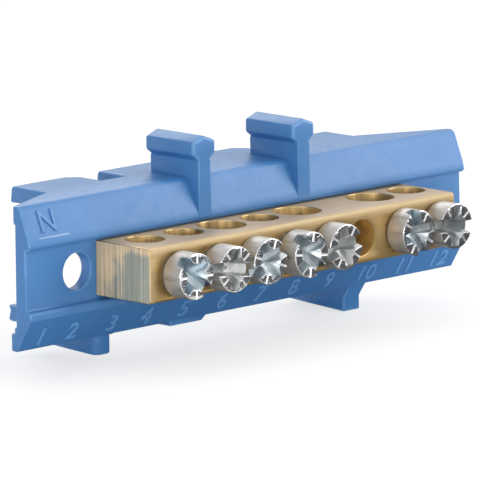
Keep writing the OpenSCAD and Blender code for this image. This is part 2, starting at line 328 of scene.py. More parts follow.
def remove(obj):
    """Delete a helper object and its mesh."""
    mesh = obj.data
    bpy.data.objects.remove(obj)
    bpy.data.meshes.remove(mesh)


def carve(obj, cutter):
    """Cut one closed mesh out of another; the cut's walls take the cutter's own finish."""
    cut = obj.modifiers.new("Cut", "BOOLEAN")
    cut.operation = "DIFFERENCE"
    cut.solver = "EXACT"
    cut.material_mode = "TRANSFER"
    cut.object = cutter
    apply(obj, cut)
    remove(cutter)


def smooth(obj, degrees):
    """Shade smooth where faces meet at less than an angle."""
    only(obj)
    bpy.ops.object.shade_smooth_by_angle(angle=math.radians(degrees))


def welded_copy(node, name):
    """A copy of a CAD node's mesh as a new object, its loose triangles merged into plain faces."""
    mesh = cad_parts[node].data.copy()
    mesh.materials.clear()
    obj = bpy.data.objects.new(name, mesh)
    obj.data.name = name
    bpy.context.scene.collection.objects.link(obj)
    only(obj)
    if mesh.has_custom_normals:
        bpy.ops.mesh.customdata_custom_splitnormals_clear()
    edit(obj)
    bpy.ops.mesh.remove_doubles(threshold=CAD_WELD)
    close()
    merge_flats(obj)
    return obj


def give(obj, *materials):
    """Put materials on a piece's slots."""
    obj.data.materials.clear()
    for material in materials:
        obj.data.materials.append(material)


# Material building blocks

# Depth of the bump: fine grain, drawn lines and saw marks
GRAIN_BUMP = 0.03 * MM
LINE_BUMP = 0.05 * MM
SAW_BUMP = 0.06 * MM
# On a sawn end: where the grey along the front starts to fade, and the tan band below the top
GREY_BAND = 2.5 * MM
TAN_BAND = (1.4 * MM, 0.4 * MM)
# How many features of a pattern there are in a metre
BRASS_PATCHES = 260.0
ZINC_CLOUDS = 420.0
ZINC_DENTS = 1300.0
ZINC_GLOSS = 1500.0
ZINC_GRAIN = 4200.0
SCREW_BATCHES = 110.0


class Nodes:
    """The emptied node tree of a material or a world, with short ways to add nodes and links."""

    def __init__(self, holder):
        holder.use_nodes = True
        self.tree = holder.node_tree
        self.tree.nodes.clear()

    def node(self, kind, values=None):
        """A new node with plain values on its inputs, laid out in rows of eight."""
        made = self.tree.nodes.new(kind)
        row, column = divmod(len(self.tree.nodes), 8)
        made.location = (-220 * column, -180 * row)
        for socket, value in (values or {}).items():
            made.inputs[socket].default_value = value
        return made

    def link(self, source, target):
        """Join an output to an input."""
        self.tree.links.new(source, target)

    def seen_rays(self):
        """One where a ray comes from the camera or off metal, plastic or glass, nothing for soft light."""
        path = self.node("ShaderNodeLightPath")
        seen = path.outputs["Is Camera Ray"]
        for kind in ("Is Glossy Ray", "Is Transmission Ray"):
            either = self.node("ShaderNodeMath")
            either.operation = "MAXIMUM"
            self.link(seen, either.inputs[0])
            self.link(path.outputs[kind], either.inputs[1])
            seen = either.outputs["Value"]
        return seen


class Finish(Nodes):
    """A principled material with short ways to add the patterns that drive it."""

    def __init__(self, name):
        self.material = bpy.data.materials.new(name)
        super().__init__(self.material)
        out = self.node("ShaderNodeOutputMaterial")
        self.shader = self.node("ShaderNodeBsdfPrincipled")
        self.link(self.shader.outputs["BSDF"], out.inputs["Surface"])
        self.place = self.node("ShaderNodeTexCoord").outputs["Object"]

    def set(self, socket, value):
        """A number or colour that is the same all over."""
        self.shader.inputs[socket].default_value = value
        return self

    def to(self, socket, output):
        """Drive one of the shader's sockets."""
        self.link(output, self.shader.inputs[socket])
        return self

    def stretched(self, scale):
        """The object's coordinates, stretched on each axis."""
        mapping = self.node("ShaderNodeMapping", {"Scale": scale})
        self.link(self.place, mapping.inputs["Vector"])
        return mapping.outputs["Vector"]

    def noise(self, vector, scale, detail=3.0, rough=0.5, twist=0.0):
        """A cloudy pattern between nothing and one."""
        made = self.node("ShaderNodeTexNoise", {
            "Scale": scale, "Detail": detail, "Roughness": rough, "Distortion": twist})
        self.link(vector, made.inputs["Vector"])
        return made.outputs["Fac"]

    def lines(self, scale, detail, rough):
        """A pattern of lines: noise that is stretched on each axis."""
        return self.noise(self.stretched(scale), 1.0, detail, rough)

    def ramp(self, value, stops):
        """Colours along a value from nothing to one."""
        made = self.node("ShaderNodeValToRGB")
        marks = made.color_ramp.elements
        for mark, (position, tone) in ((marks[0], stops[0]), (marks[1], stops[-1])):
            mark.position = position
            mark.color = tuple(tone) + (1.0,)
        for position, tone in stops[1:-1]:
            marks.new(position).color = tuple(tone) + (1.0,)
        self.link(value, made.inputs["Fac"])
        return made.outputs["Color"]

    def fit(self, value, low, high, start=0.3, stop=0.7):
        """A value's middle range spread between two numbers."""
        made = self.node("ShaderNodeMapRange", {
            "From Min": start, "From Max": stop, "To Min": low, "To Max": high})
        self.link(value, made.inputs["Value"])
        return made.outputs["Result"]

    def sum(self, a, b, weight):
        """First value plus a share of the second."""
        made = self.node("ShaderNodeMath", {1: weight})
        made.operation = "MULTIPLY_ADD"
        self.link(b, made.inputs[0])
        self.link(a, made.inputs[2])
        return made.outputs["Value"]

    def axes(self):
        """The object's coordinates one by one."""
        made = self.node("ShaderNodeSeparateXYZ")
        self.link(self.place, made.inputs["Vector"])
        return made.outputs

    def reach(self, a, b):
        """Length of the arrow that two values make."""
        both = self.node("ShaderNodeCombineXYZ")
        self.link(a, both.inputs["X"])
        self.link(b, both.inputs["Y"])
        made = self.node("ShaderNodeVectorMath")
        made.operation = "LENGTH"
        self.link(both.outputs["Vector"], made.inputs[0])
        return made.outputs["Value"]

    def blend(self, kind, a, b):
        """A node that blends two colours in full."""
        made = self.node("ShaderNodeMix", {0: 1.0})
        made.data_type = "RGBA"
        made.blend_type = kind
        self.link(a, made.inputs[6])
        self.link(b, made.inputs[7])
        return made

    def mix(self, share_of, a, b):
        """Two colours mixed by a value."""
        made = self.blend("MIX", a, b)
        self.link(share_of, made.inputs[0])
        return made.outputs[2]

    def multiply(self, a, b):
        """Two colours multiplied."""
        return self.blend("MULTIPLY", a, b).outputs[2]

    def relief(self, height, strength, distance):
        """A bump from a value."""
        made = self.node("ShaderNodeBump", {"Strength": strength, "Distance": distance})
        self.link(height, made.inputs["Height"])
        return self.to("Normal", made.outputs["Normal"])


def plastic_finish(name, deep, pale, roughness):
    """Satin moulded plastic: faint clouds, a fine eroded grain and a slightly uneven gloss."""
    f = Finish(name)
    f.set("Metallic", 0.0).set("IOR", 1.56)
    clouds = f.noise(f.place, 170.0, detail=4.0, rough=0.6, twist=0.4)
    f.to("Base Color", f.ramp(clouds, [(0.32, deep), (0.68, pale)]))
    sheen = f.noise(f.place, 900.0, detail=3.0, rough=0.6)
    f.to("Roughness", f.fit(sheen, roughness - 0.05, roughness + 0.06))
    grain = f.noise(f.place, 5200.0, detail=2.0)
    waves = f.noise(f.place, 420.0, detail=2.0)
    f.relief(f.sum(grain, waves, 1.6), 0.35, GRAIN_BUMP)
    return f.material


def brass_tone(f, lines):
    """Lines and soft patches of brass, as one value for a ramp and the patches alone."""
    patches = f.noise(f.place, BRASS_PATCHES, detail=4.0, rough=0.6, twist=0.3)
    return f.sum(f.fit(lines, 0.0, 0.45), f.fit(patches, 0.0, 1.0), 0.5), patches


def brass_finish(name, stops, metal, roughness, coarse, fine, strength):
    """Brass with lines that run one way: coarse and fine are the stretch of two patterns on each axis."""
    f = Finish(name)
    f.set("Metallic", metal)
    lines = f.lines(coarse, 5.0, 0.62)
    hairs = f.lines(fine, 3.0, 0.6)
    mixed, patches = brass_tone(f, lines)
    f.to("Base Color", f.ramp(mixed, stops))
    f.to("Roughness", f.fit(patches, roughness - 0.07, roughness + 0.09))
    f.relief(f.sum(lines, hairs, 0.5), strength, LINE_BUMP)
    return f.material


def front_finish(name, look, low, high):
    """Drawn brass: lines along the bar, golden in the middle, with a paler painted highlight along the top
    and the left end.
    """
    f = Finish(name)
    lines = f.lines((40.0, 700.0, 1500.0), 5.0, 0.62)
    hairs = f.lines((90.0, 2000.0, 6000.0), 3.0, 0.6)
    mixed, patches = brass_tone(f, lines)
    gilt = f.ramp(mixed, [(0.15, look.tarnish), (0.5, look.gold), (0.9, look.pale_gold)])
    at = f.axes()
    # Painted highlight: the front turns paler, less metallic and rougher along the top and the left end.
    upper = f.fit(at["Z"], 0.0, 1.0, high.z - 1.6 * look.rim_width, high.z - 0.2 * look.rim_width)
    end = f.fit(at["X"], 1.0, 0.0, low.x, low.x + 1.6 * look.rim_width)
    ragged = f.sum(f.reach(upper, end), f.fit(patches, -0.5, 0.5), 0.35)
    rim = f.fit(ragged, 0.0, 1.0, 0.3, 0.95)
    paler = f.ramp(hairs, [(0.3, look.pale_gold), (0.7, look.highlight_cream)])
    f.to("Base Color", f.mix(rim, gilt, paler))
    f.to("Metallic", f.fit(rim, 0.75, 0.35, 0.0, 1.0))
    gloss = f.sum(rim, patches, 0.3)
    f.to("Roughness", f.fit(gloss, look.roughness - 0.04, look.roughness + 0.2, 0.0, 1.2))
    f.relief(f.sum(lines, hairs, 0.5), 0.18, LINE_BUMP)
    return f.material


def sawn_finish(name, look, low, high):
    """Sawn brass: sharp upright saw lines, tan at the rear and the top, greenish grey at the front."""
    f = Finish(name)
    f.set("Metallic", 0.12)
    lines = f.lines((900.0, 3400.0, 45.0), 4.0, 0.7)
    hairs = f.lines((900.0, 5200.0, 60.0), 2.0, 0.6)
    patches = f.noise(f.place, 330.0, detail=3.0, rough=0.6, twist=0.4)
    at = f.axes()
    across = f.fit(at["Y"], 0.0, 1.0, low.y + GREY_BAND, high.y)
    upper = f.fit(at["Z"], 0.0, 0.8, high.z - TAN_BAND[0], high.z - TAN_BAND[1])
    tone = f.sum(across, upper, 1.0)
    tone = f.sum(tone, f.fit(lines, -0.5, 0.5), 0.6)
    tone = f.sum(tone, f.fit(patches, -0.5, 0.5), 0.5)
    brass = f.ramp(tone, [(0.25, look.sawn_grey), (0.75, look.sawn_tan)])
    streak = f.ramp(f.sum(f.fit(lines, 0.0, 0.5), f.fit(hairs, 0.0, 1.0), 0.5), [
        (0.12, (0.7, 0.7, 0.68)), (0.45, (1.0, 1.0, 1.0)), (0.88, (1.45, 1.42, 1.35))])
    f.to("Base Color", f.multiply(brass, streak))
    f.to("Roughness", f.fit(hairs, 0.36, 0.54))
    f.relief(f.sum(lines, hairs, 0.6), 0.45, SAW_BUMP)
    return f.material


def zinc_clouds(f):
    """Soft clouds of the plating."""
    return f.noise(f.place, ZINC_CLOUDS, detail=4.0, rough=0.6, twist=0.5)


def zinc_grain(f):
    """Fine grain of the plating."""
    return f.noise(f.place, ZINC_GRAIN, detail=3.0, rough=0.55)


def plate(f, roughness, strength, dents):
    """Give a zinc finish its slightly uneven gloss, its fine grain and its shallow dents."""
    uneven = f.noise(f.place, ZINC_GLOSS, detail=3.0, rough=0.6)
    f.to("Roughness", f.fit(uneven, roughness - 0.05, roughness + 0.07))
    waves = f.noise(f.place, ZINC_DENTS, detail=2.0)
    f.relief(f.sum(zinc_grain(f), waves, dents), strength, GRAIN_BUMP)


def zinc_finish(name, plain, tint, metal, roughness, strength, dents=0.0):
    """Zinc plating in two tones, with grain and dents of a given strength."""
    f = Finish(name)
    f.set("Metallic", metal)
    f.to("Base Color", f.ramp(zinc_clouds(f), [(0.35, plain), (0.65, tint)]))
    plate(f, roughness, strength, dents)
    return f.material


def recess_finish(name, look):
    """Stamped zinc: clouds of plain or bluish grey, the tint changing from screw to screw along the bar."""
    f = Finish(name)
    f.set("Metallic", 1.0)
    clouds = zinc_clouds(f)
    plain = f.ramp(clouds, [(0.35, look.dull_zinc), (0.65, look.pale_zinc)])
    cool = f.ramp(clouds, [(0.35, look.teal_zinc), (0.65, look.aqua_zinc)])
    batch = f.lines((SCREW_BATCHES, 0.0, 0.0), 0.0, 0.5)
    f.to("Base Color", f.mix(f.fit(batch, 0.0, 1.0, 0.4, 0.6), plain, cool))
    plate(f, look.recess_roughness, 0.5, 4.0)
    return f.material


def turned_finish(name, look):
    """Turned zinc side: brownish and lilac streaks along the screw, painted reflections of the brass and of
    the blue moulding, and a fine grain.
    """
    f = Finish(name)
    f.set("Metallic", 0.55)
    streaks = f.lines((1500.0, 110.0, 1500.0), 4.0, 0.65)
    clouds = zinc_clouds(f)
    tone = f.sum(f.fit(streaks, 0.0, 0.7), f.fit(clouds, 0.0, 1.0), 0.3)
    # Painted reflections: brownish streaks for the brass, lilac streaks for the blue moulding.
    f.to("Base Color", f.ramp(tone, [
        (0.15, look.brass_reflection_zinc), (0.45, look.side_zinc), (0.85, look.lilac_reflection_zinc)]))
    f.to("Roughness", f.fit(clouds, look.side_roughness - 0.06, look.side_roughness + 0.08))
    f.relief(f.sum(zinc_grain(f), streaks, 1.5), 0.4, GRAIN_BUMP)
    return f.material


# Carrier

# Corners of the solid's section on Y and Z, and the heights of the knees in its feet
UPPER_CREST = Vector((0.0, -0.85, 8.825)) * MM
UPPER_NOSE = Vector((0.0, -2.6, 4.525)) * MM
LOWER_NOSE = Vector((0.0, -2.65, -4.925)) * MM
LOWER_EDGE = Vector((0.0, -0.2, -8.875)) * MM
FOOT_KNEES = (-8.9395 * MM, -10.5517 * MM)
# Above this height only the finger clips are left
ROOF = UPPER_CREST.z + 0.2 * MM
# How far the nose's points may lie from its line, on Y and Z, and from each other to be one point
NOSE_REACH = (0.05 * MM, 0.09 * MM)
NOSE_MERGE = 0.17 * MM
# Shorter edges stay sharp
SHORT_EDGE = 0.12 * MM
# The second slot is the paler edge blue: partly wear, partly a painted highlight on the rounded edges.
PLAIN_BLUE, EDGE_WEAR_AND_HIGHLIGHT = range(2)
# Angles in degrees above which an edge is rounded, and below which faces are shaded as one
NOSE_SHARP = 15.0
CLIP_SHARP = 30.0
EDGE_SHARP = 38.0
SMOOTH_BELOW = 34.0


def at_knee(a, b):
    """Whether an edge lies along the knee where a foot's front turns down."""
    return any(abs(a.z - z) < ON_PLANE and abs(b.z - z) < ON_PLANE for z in FOOT_KNEES)


def at_nose(p):
    """Whether a point lies where the upper bevel turns down into the lip."""
    return abs(p.y - UPPER_NOSE.y) < NOSE_REACH[0] and abs(p.z - UPPER_NOSE.z) < NOSE_REACH[1]


def on_lip(centre, normal):
    """Whether a face is the lip's upright front, which runs on into the finger clips."""
    return normal.y < -0.999 and abs(centre.y - UPPER_NOSE.y) < ON_PLANE


def soften_nose(body, radius):
    """Set the nose's points in one straight line, part the lip from the clips, and round the nose."""
    pick_verts(body, at_nose)
    bpy.ops.mesh.remove_doubles(threshold=NOSE_MERGE)
    close()
    pick_verts(body, at_nose)
    bpy.ops.transform.resize(value=(1.0, 0.0, 0.0), center_override=UPPER_NOSE)
    close()
    sides = {round(p.co.x, 6) for p in body.data.vertices if at_nose(p.co)}
    for x in sorted(sides):
        pick_faces(body, on_lip)
        bpy.ops.mesh.bisect(plane_co=(x, 0.0, 0.0), plane_no=(1.0, 0.0, 0.0), threshold=WELD)
        close()
    pick_edges(body, NOSE_SHARP, lambda a, b: at_nose(a) and at_nose(b))
    round_picked(radius, 6, PLAIN_BLUE)
    merge_flats(body)


class TERMINAL_OT_carrier(bpy.types.Operator):
    """Make the moulded carrier with its rounded edges"""
    bl_idname = "terminal_block.carrier"
    bl_label = "Moulded carrier"

    def execute(self, context):
        look = context.scene.carrier_look
        body = welded_copy("carrier", "moulded_carrier")
        plain = plastic_finish("satin blue plastic", look.blue, look.pale_blue, look.roughness)
        # The rounded edges get a paler blue: partly wear, partly a painted highlight.
        wear_and_highlight = plastic_finish("rubbed blue edge", look.pale_blue, look.edge_wear_and_highlight_blue, look.roughness - 0.08)
        give(body, plain, wear_and_highlight)
        soften_nose(body, look.nose_round)
        pick_edges(body, CLIP_SHARP, lambda a, b: min(a.z, b.z) > ROOF)
        round_picked(look.clip_round, 4, EDGE_WEAR_AND_HIGHLIGHT, "ARC")
        pick_edges(body, EDGE_SHARP, lambda a, b: (
            (a - b).length > SHORT_EDGE and min(a.z, b.z) <= ROOF and not at_knee(a, b)))
        round_picked(look.edge_round, 3, EDGE_WEAR_AND_HIGHLIGHT, "ARC", slide=False)
        smooth(body, SMOOTH_BELOW)
        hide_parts("carrier")
        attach(body, "block")
        return {"FINISHED"}


# Raised marks

# Where the marks lie along the part, the digits in millimetres, and down their bevel from its upper edge
DIGIT_X = [-34.8, -29.54, -22.98, -17.22, -10.82, -4.19, 2.47, 8.3, 14.51, 21.47, 28.14, 34.63]
DIGIT_DOWN = 2.74 * MM
LETTER_X = -34.15 * MM
LETTER_DOWN = 2.2 * MM
BEAD_X = -33.6 * MM
BEAD_DOWN = 4.2 * MM
BEAD_LENGTH = 5.0 * MM
# Height of a bead over its width, and of a capital over the text's size
BEAD_HEIGHT = 0.7
CAPITAL = 0.7
MARK_SMOOTH = 30.0


def bevel_plane(top, bottom, x, down):
    """Matrix of a place on a bevel: X along the part, Y up the slope, Z out of it."""
    up = (top - bottom).normalized()
    side = Vector((1.0, 0.0, 0.0))
    out = side.cross(up)
    at = top - up * down + side * x
    turn = Matrix((side, up, out)).transposed().to_4x4()
    return Matrix.Translation(at) @ turn


def raised_sign(sign, height, relief, gain, at):
    """A plain raised sign on a bevel, as a mesh with its place applied."""
    wall = 0.5 * relief
    slant = 0.35 * relief
    obj = fresh(bpy.ops.object.text_add)
    obj.data.body = sign
    obj.data.align_x = "CENTER"
    obj.data.size = height / CAPITAL
    obj.data.extrude = wall
    obj.data.bevel_depth = slant
    obj.data.bevel_resolution = 2
    obj.data.offset = gain - slant
    obj.data.resolution_u = 4
    bpy.ops.object.convert(target="MESH")
    weld_outwards(obj)
    low = Vector(map(min, *[v.co for v in obj.data.vertices]))
    high = Vector(map(max, *[v.co for v in obj.data.vertices]))
    scale = height / (high.y - low.y)
    middle = (low + high) / 2
    fitting = Matrix.Diagonal((scale, scale, 1.0, 1.0)) @ Matrix.Translation((-middle.x, -middle.y, 0.0))
    obj.matrix_world = at @ Matrix.Translation((0.0, 0.0, relief - wall - slant)) @ fitting
    settle(obj)
    return obj


def fine_bead(along, across, at):
    """A fine half-round bead that lies on a bevel."""
    bead = fresh(bpy.ops.mesh.primitive_cylinder_add, vertices=16, radius=0.5, depth=1.0)
    bead.rotation_euler = (0.0, math.radians(90.0), 0.0)
    settle(bead)
    bead.scale = (along, across, BEAD_HEIGHT * across)
    settle(bead)
    bead.matrix_world = at
    settle(bead)
    return bead


class TERMINAL_OT_marks(bpy.types.Operator):
    """Make the raised numerals, the letter and its bead"""
    bl_idname = "terminal_block.marks"
    bl_label = "Raised marks"

    def execute(self, context):
        look = context.scene.mark_look
        plain = context.scene.carrier_look
        # The numerals are painted paler than the moulding as a highlight on the raised strokes.
        pale = plastic_finish("rubbed blue marks", plain.edge_wear_and_highlight_blue, look.wear_and_highlight, plain.roughness)
        # Whitish blue painted on the bead as its highlight.
        painted_highlight = plastic_finish("worn blue bead", look.wear_and_highlight, look.painted_highlight, plain.roughness)
        digits = []
        for i, x in enumerate(DIGIT_X):
            at = bevel_plane(LOWER_NOSE, LOWER_EDGE, x * MM, DIGIT_DOWN)
            digits.append(raised_sign(str(i + 1), look.digit_height, look.relief, look.stroke_gain, at))
        row = join(digits[0], digits[1:])
        rename(row, "raised_numerals")
        letter = raised_sign("N", look.letter_height, look.letter_relief, look.stroke_gain,
                             bevel_plane(UPPER_CREST, UPPER_NOSE, LETTER_X, LETTER_DOWN))
        rename(letter, "raised_letter")
        bead = fine_bead(BEAD_LENGTH, look.bead, bevel_plane(UPPER_CREST, UPPER_NOSE, BEAD_X, BEAD_DOWN))
        rename(bead, "letter_bead")
        satin = bpy.data.materials["satin blue plastic"]
        for piece, finish in ((row, pale), (letter, satin), (bead, painted_highlight)):
            give(piece, finish)
            smooth(piece, MARK_SMOOTH)
            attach(piece, "block")
        return {"FINISHED"}


# Brass bar

EMPTY_BORE_X = 10.15 * MM
EMPTY_BORE_REACH = 3.2 * MM
# Edges longer than this are the drawn ones along the bar
LONG_EDGE = 10.0 * MM
FRONT, TOP, SAWN, BORED, BRIGHT, EMPTY = range(6)


def bar_finishes(look, low, high):
    """The bar's finishes in the order of its slots."""
    return (
        front_finish("drawn brass front", look, low, high),
        brass_finish("matt brass top", [(0.1, look.matt_top), (0.9, look.pale_top)], 0.5,
                     look.roughness + 0.15, (60.0, 1200.0, 900.0), (90.0, 5000.0, 2000.0), 0.15),
        sawn_finish("sawn brass end", look, low, high),
        # Bored walls: darker brass painted as shade inside the holes.
        brass_finish("bored brass", [(0.25, look.shaded_bore_brown), (0.5, look.shaded_bore_gold), (0.75, look.gold)], 0.6,
                     look.roughness + 0.04, (1100.0, 1100.0, 60.0), (2600.0, 2600.0, 100.0), 0.25),
        brass_finish("bright brass edge", [(0.2, look.gold), (0.7, look.pale_gold)], 0.9,
                     look.roughness - 0.1, (200.0, 900.0, 900.0), (600.0, 2000.0, 2000.0), 0.2),
        brass_finish("empty bore", [(0.2, look.shaded_bore_gold), (0.7, look.empty_gold)], 0.5,
                     look.roughness + 0.1, (60.0, 900.0, 900.0), (300.0, 2200.0, 2200.0), 0.2))


def bar_slot(c, low, high):
    """Which slot a face of the bar takes, by its centre."""
    if min(c.x - low.x, high.x - c.x) < ON_PLANE:
        return SAWN
    if min(c.z - low.z, high.z - c.z) < ON_PLANE:
        return TOP
    if min(c.y - low.y, high.y - c.y) < ON_PLANE:
        return FRONT
    if abs(c.x - EMPTY_BORE_X) < EMPTY_BORE_REACH:
        return EMPTY
    return BORED


class TERMINAL_OT_bar(bpy.types.Operator):
    """Make the drawn and sawn brass bar"""
    bl_idname = "terminal_block.bar"
    bl_label = "Brass bar"

    def execute(self, context):
        look = context.scene.bar_look
        bar = welded_copy("terminal_bar", "brass_bar")
        low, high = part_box("terminal_bar")
        give(bar, *bar_finishes(look, low, high))
        for face in bar.data.polygons:
            face.material_index = bar_slot(face.center, low, high)
        pick_edges(bar, EDGE_SHARP, lambda a, b: (a - b).length > LONG_EDGE and a.y < low.y + ON_PLANE)
        round_picked(look.long_round, 4, FRONT)
        pick_edges(bar, EDGE_SHARP, lambda a, b: True)
        round_picked(look.edge_break, 2, BRIGHT, slide=False)
        smooth(bar, SMOOTH_BELOW)
        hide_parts("terminal_bar")
        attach(bar, "block")
        return {"FINISHED"}


# Clamp screws

# Turn of each slot in degrees, from left to right
SCREW_TURN = [-47.0, -8.0, 26.0, -52.0, 12.0, -76.0, -8.0]
SCREW_NODES = ["clamp_screw_%d" % (i + 1) for i in range(len(SCREW_TURN))]
# Angle in degrees above which an edge of the head is rounded, and below which faces are shaded as one
HEAD_SHARP = 32.0
FACE, SIDE, RECESS = range(3)
# How far below the top a face belongs to the head's face, and inside the rim to its side
FACE_REACH = 0.18 * MM
SIDE_REACH = 0.3 * MM
# Rounding of the head's rim, of its underside and of the stamped edges, down to this far below the face
RIM_ROUND = 0.14 * MM
UNDER_ROUND = 0.12 * MM
STAMP_ROUND = 0.05 * MM
STAMP_REACH = 1.0 * MM
# How far the cutters stand above the face, and the slot's cutter beyond the rim
CUTTER_RISE = 0.4 * MM
CUTTER_OVER = 1.0 * MM
# The cone's blunt tip, how far it goes below the grooves, and how far it stands above the face
CONE_TIP = 0.25 * MM
CONE_SINK = 0.06 * MM
CONE_RISE = 0.01 * MM
# The small ticks: distance from the axis, size, and how far their middle lies above the face
TICK_MIDDLE = 2.16 * MM
TICK_SIZE = (1.22 * MM, 0.24 * MM, 0.24 * MM)
TICK_RISE = 0.02 * MM
# The thread: gap to the solid's shank, depth, steps in a turn, and a crest's end over the pitch
THREAD_GAP = 0.02 * MM
THREAD_DEPTH = 0.42 * MM
THREAD_STEPS = 28
CREST_END = 0.6
# The core: plain tip below the thread, its bevel, overlap with the thread, and the rim of the tip
PLAIN_TIP = 0.3 * MM
TIP_BEVEL = 0.35 * MM
CORE_OVERLAP = 0.03 * MM
CORE_RIM = 0.1 * MM


def sloped_cutter(reach, width, floor_width, end_depth, depth, top, turn):
    """A cutter for one groove across the head: floor falling to the middle, walls leaning outwards."""
    lean = (width - floor_width) / end_depth
    mouth = width + lean * CUTTER_RISE
    height = end_depth + CUTTER_RISE
    obj = fresh(bpy.ops.mesh.primitive_cube_add, size=1.0)
    obj.scale = (reach, mouth, height)
    obj.location = (0.0, 0.0, top + CUTTER_RISE - height / 2)
    settle(obj)
    edit(obj)
    bpy.ops.mesh.bisect(plane_co=(0.0, 0.0, 0.0), plane_no=(1.0, 0.0, 0.0))
    close()
    floor = top - end_depth
    pick_verts(obj, lambda p: p.z < floor + ON_PLANE)
    bpy.ops.transform.resize(value=(1.0, floor_width / mouth, 1.0), center_override=(0.0, 0.0, 0.0))
    close()
    pick_verts(obj, lambda p: abs(p.z - floor) < ON_PLANE and abs(p.x) < ON_PLANE)
    bpy.ops.transform.translate(value=(0.0, 0.0, end_depth - depth))
    close()
    obj.rotation_euler = (0.0, 0.0, turn)
    settle(obj)
    return obj


def tick_cutter(top, turn):
    """A cutter for the small groove with slanted walls in one quarter of the head."""
    obj = fresh(bpy.ops.mesh.primitive_cube_add, size=1.0)
    obj.scale = TICK_SIZE
    obj.rotation_euler = (math.radians(45.0), 0.0, 0.0)
    settle(obj)
    obj.location = (TICK_MIDDLE, 0.0, top + TICK_RISE)
    settle(obj)
    obj.rotation_euler = (0.0, 0.0, turn)
    settle(obj)
    return obj


def wound_thread(look, root, crest):
    """One tooth wound round the screw's axis, with closed ends."""
    p = look.pitch
    tooth = [(root, 0.0), (root, 0.12 * p), (crest, 0.46 * p),
             (crest, CREST_END * p), (root, 0.94 * p), (root, p)]
    mesh = bpy.data.meshes.new("thread")
    mesh.from_pydata([(r, 0.0, z) for r, z in tooth], [(i, i + 1) for i in range(len(tooth) - 1)], [])
    thread = bpy.data.objects.new("thread", mesh)
    bpy.context.scene.collection.objects.link(thread)
    turns = int((look.shank_len - PLAIN_TIP) / p)
    wind = thread.modifiers.new("Wind", "SCREW")
    wind.angle = 2 * math.pi
    wind.screw_offset = p
    wind.iterations = turns
    wind.steps = THREAD_STEPS
    wind.render_steps = THREAD_STEPS
    wind.use_merge_vertices = True
    wind.merge_threshold = WELD
    apply(thread, wind)
    edit(thread, "EDGE")
    bpy.ops.mesh.remove_doubles(threshold=WELD)
    bpy.ops.mesh.select_all(action="DESELECT")
    bpy.ops.mesh.select_non_manifold(extend=False)
    bpy.ops.mesh.fill()
    bpy.ops.mesh.select_all(action="SELECT")
    bpy.ops.mesh.normals_make_consistent(inside=False)
    close()
    thread.location = (0.0, 0.0, look.shank_len - (turns + CREST_END) * p)
    settle(thread)
    return thread


def threaded_shank(look):
    """The thread below the head on a core with a bevelled tip."""
    crest = look.shank_d / 2 - THREAD_GAP
    root = crest - THREAD_DEPTH
    thread = wound_thread(look, root, crest)
    core = fresh(bpy.ops.mesh.primitive_cylinder_add, vertices=40, radius=root + CORE_OVERLAP,
                 depth=look.shank_len, location=(0.0, 0.0, look.shank_len / 2))
    settle(core)
    pick_faces(core, lambda c, n: n.z < -0.9)
    bpy.ops.mesh.inset(thickness=TIP_BEVEL)
    close()
    pick_verts(core, lambda v: v.z < WELD and v.to_2d().length > root - CORE_RIM)
    bpy.ops.transform.translate(value=(0.0, 0.0, TIP_BEVEL))
    close()
    for piece in (thread, core):
        give(piece, bpy.data.materials["satin zinc side"])
    return join(thread, [core])


def screw_finishes(look):
    """The head's finishes in the order of its slots: bright face, satin side and stamped recess."""
    return (zinc_finish("bright zinc face", look.zinc, look.cool_zinc, 1.0, look.roughness, 0.16, 30.0),
            turned_finish("satin zinc side", look),
            recess_finish("stamped zinc recess", look))


def head_slot(face, look, top):
    """Which slot a face of the head takes."""
    out = face.center.to_2d()
    if face.center.z > top - FACE_REACH and face.normal.z > 0.5:
        return FACE
    outer = out.length > look.head_d / 2 - SIDE_REACH
    if face.normal.z < -0.5 or (outer and face.normal.to_2d().dot(out) > 0.5 * out.length):
        return SIDE
    return RECESS


def plain_head(look):
    """A cylinder head with a rounded rim."""
    head = fresh(bpy.ops.mesh.primitive_cylinder_add, vertices=72, radius=look.head_d / 2,
                 depth=look.head_h, location=(0.0, 0.0, look.shank_len + look.head_h / 2))
    settle(head)
    pick_faces(head, lambda c, n: n.z > 0.9)
    round_picked(RIM_ROUND, 3)
    pick_faces(head, lambda c, n: n.z < -0.9)
    round_picked(UNDER_ROUND, 2)
    return head


def combined_head(look):
    """A head with a slot through its rim, a cross that ends inside it, a cone and four small ticks."""
    top = look.shank_len + look.head_h
    head = plain_head(look)
    carve(head, sloped_cutter(look.head_d + CUTTER_OVER, look.slot_w, look.slot_floor, look.slot_depth,
                              look.hollow_depth, top, 0.0))
    carve(head, sloped_cutter(look.cross_d, look.cross_w, look.cross_floor, look.cross_depth,
                              look.hollow_depth, top, math.radians(90.0)))
    sink = look.hollow_depth + CONE_SINK
    cone = fresh(bpy.ops.mesh.primitive_cone_add, vertices=40, radius1=CONE_TIP, radius2=look.hollow_d / 2,
                 depth=sink, location=(0.0, 0.0, top - sink / 2 + CONE_RISE))
    settle(cone)
    carve(head, cone)
    weld_outwards(head)
    give(head, *screw_finishes(look))
    for face in head.data.polygons:
        face.material_index = head_slot(face, look, top)
    pick_edges(head, HEAD_SHARP, lambda a, b: min(a.z, b.z) > top - STAMP_REACH)
    round_picked(STAMP_ROUND, 2, slide=False)
    pick_verts(head, lambda p: p.z > top)
    bpy.ops.transform.resize(value=(1.0, 1.0, 0.0), center_override=(0.0, 0.0, top))
    close()
    ticks = [tick_cutter(top, math.radians(45.0 + 90.0 * quarter)) for quarter in range(4)]
    four = join(ticks[0], ticks[1:])
    # The ticks get a bright zinc as a painted highlight.
    give(four, zinc_finish("crushed zinc tick", look.tick_highlight_zinc, look.zinc, 0.7, look.recess_roughness, 0.2))
    carve(head, four)
    return head


